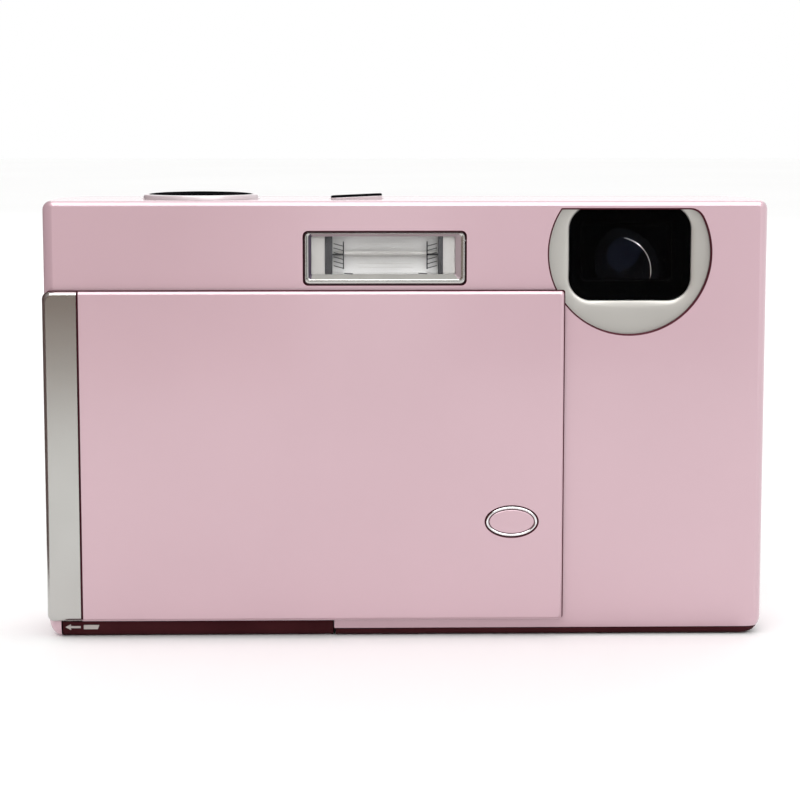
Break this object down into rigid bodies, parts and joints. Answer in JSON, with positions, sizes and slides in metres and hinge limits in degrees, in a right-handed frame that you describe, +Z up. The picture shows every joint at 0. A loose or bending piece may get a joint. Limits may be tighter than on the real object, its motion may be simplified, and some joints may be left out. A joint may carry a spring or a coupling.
{
  "type": "compact digital camera with sliding lens cover",
  "caption": "Flat pocket digital camera with a folded zoom lens behind a porthole, a cover that slides diagonally over it, a flash, a rear display and a battery door.",
  "frame": {"origin": "centre of the base, at the height of the surface the camera stands on", "axes": "-Y is the lens side, +X is to the viewer's right when facing the lens, +Z is up"},
  "size_m": [0.092, 0.02, 0.0569],
  "materials": {
    "pink_aluminium": "satin anodised pink",
    "satin_silver": "satin",
    "chrome_trim": "bright",
    "wine_plastic": "semi gloss",
    "black_plastic": "matte",
    "grey_plastic": "satin",
    "steel": "brushed",
    "circuit_board": "solder mask",
    "clear_glass": "polished"
  },
  "bodies": {
    "camera_body": {"base_plate": "wine_plastic", "battery": "grey_plastic", "battery_bay": "black_plastic", "button_board": "circuit_board", "chassis": "steel", "display_panel": "black_plastic", "display_window": "clear_glass", "flash_capacitor": "black_plastic", "flash_frame": "chrome_trim", "flash_lens": "clear_glass", "flash_reflector": "chrome_trim", "flash_tube": "clear_glass", "focus_motor": "steel", "front_shell": "pink_aluminium", "image_sensor": "grey_plastic", "lens_barrel": "black_plastic", "lens_guide_rod_1": "steel", "lens_guide_rod_2": "steel", "lens_window": "clear_glass", "main_board": "circuit_board", "memory_card": "black_plastic", "objective_lens": "clear_glass", "port_connector": "steel", "porthole_bezel": "satin_silver", "prism": "clear_glass", "rear_cover": "pink_aluminium", "screw_base": "steel", "screw_left": "steel", "screw_right": "steel", "shutter_switch": "black_plastic", "strap_anchor": "steel", "top_bracket": "steel", "tripod_socket": "steel", "window_mask": "black_plastic", "zoom_motor": "steel"},
    "lens_cover": {"cover_plate": "pink_aluminium", "cover_end_trim": "satin_silver", "cover_badge": "chrome_trim", "cover_carrier": "steel", "guide_pin_lower": "steel", "guide_pin_upper": "steel", "cover_retainer": "steel"},
    "shutter_key": {"shutter_button": "satin_silver"},
    "zoom_dial": {"zoom_ring": "grey_plastic"},
    "power_key": {"power_button": "grey_plastic"},
    "nav_pad": {"four_way_pad": "satin_silver"},
    "ok_key": {"ok_button": "satin_silver"},
    "play_key": {"play_button": "satin_silver"},
    "menu_key": {"menu_button": "satin_silver"},
    "display_key": {"display_button": "satin_silver"},
    "delete_key": {"delete_button": "satin_silver"},
    "door_slider": {"door_carriage": "steel", "door_hinge_pin": "steel"},
    "door_panel": {"battery_door": "wine_plastic"},
    "battery_catch": {"battery_latch": "wine_plastic"},
    "port_cover": {"port_door": "pink_aluminium"},
    "zoom_group": {"zoom_carriage": "black_plastic", "zoom_lens": "clear_glass"},
    "focus_group": {"focus_carriage": "black_plastic", "focus_lens": "clear_glass"}
  },
  "joints": [
    {"name": "cover_slide", "type": "slide", "parent": "camera_body", "child": "lens_cover", "axis": [0.9208, 0, 0.39], "range_m": [0, 0.02769]},
    {"name": "shutter_press", "type": "slide", "parent": "camera_body", "child": "shutter_key", "axis": [0, 0, -1], "range_m": [0, 0.0008], "stiffness_N_per_m": 800},
    {"name": "zoom_turn", "type": "hinge", "parent": "camera_body", "child": "zoom_dial", "pos_m": [-0.0264, -0.0005, 0.055], "axis": [0, 0, 1], "range_deg": [-16, 16], "stiffness_Nm_per_rad": 0.02},
    {"name": "power_press", "type": "slide", "parent": "camera_body", "child": "power_key", "axis": [0, 0, -1], "range_m": [0, 0.0006], "stiffness_N_per_m": 600},
    {"name": "pad_press", "type": "slide", "parent": "camera_body", "child": "nav_pad", "axis": [0, -1, 0], "range_m": [0, 0.0005], "stiffness_N_per_m": 800},
    {"name": "ok_press", "type": "slide", "parent": "camera_body", "child": "ok_key", "axis": [0, -1, 0], "range_m": [0, 0.0005], "stiffness_N_per_m": 600},
    {"name": "play_press", "type": "slide", "parent": "camera_body", "child": "play_key", "axis": [0, -1, 0], "range_m": [0, 0.0005], "stiffness_N_per_m": 600},
    {"name": "menu_press", "type": "slide", "parent": "camera_body", "child": "menu_key", "axis": [0, -1, 0], "range_m": [0, 0.0005], "stiffness_N_per_m": 600},
    {"name": "display_press", "type": "slide", "parent": "camera_body", "child": "display_key", "axis": [0, -1, 0], "range_m": [0, 0.0005], "stiffness_N_per_m": 600},
    {"name": "delete_press", "type": "slide", "parent": "camera_body", "child": "delete_key", "axis": [0, -1, 0], "range_m": [0, 0.0005], "stiffness_N_per_m": 600},
    {"name": "door_unlock", "type": "slide", "parent": "camera_body", "child": "door_slider", "axis": [0, -1, 0], "range_m": [0, 0.0016]},
    {"name": "door_swing", "type": "hinge", "parent": "door_slider", "child": "door_panel", "pos_m": [-0.0268, 0.0062, 0.00095], "axis": [1, 0, 0], "range_deg": [0, 95]},
    {"name": "catch_slide", "type": "slide", "parent": "camera_body", "child": "battery_catch", "axis": [0, -1, 0], "range_m": [0, 0.0014], "stiffness_N_per_m": 200},
    {"name": "port_swing", "type": "hinge", "parent": "camera_body", "child": "port_cover", "pos_m": [0.0454, 0.0027, 0.015], "axis": [0, 0, 1], "range_deg": [0, 90]},
    {"name": "zoom_travel", "type": "slide", "parent": "camera_body", "child": "zoom_group", "axis": [0, 0, 1], "range_m": [-0.008, 0.008]},
    {"name": "focus_travel", "type": "slide", "parent": "camera_body", "child": "focus_group", "axis": [0, 0, 1], "range_m": [-0.004, 0.003]}
  ]
}
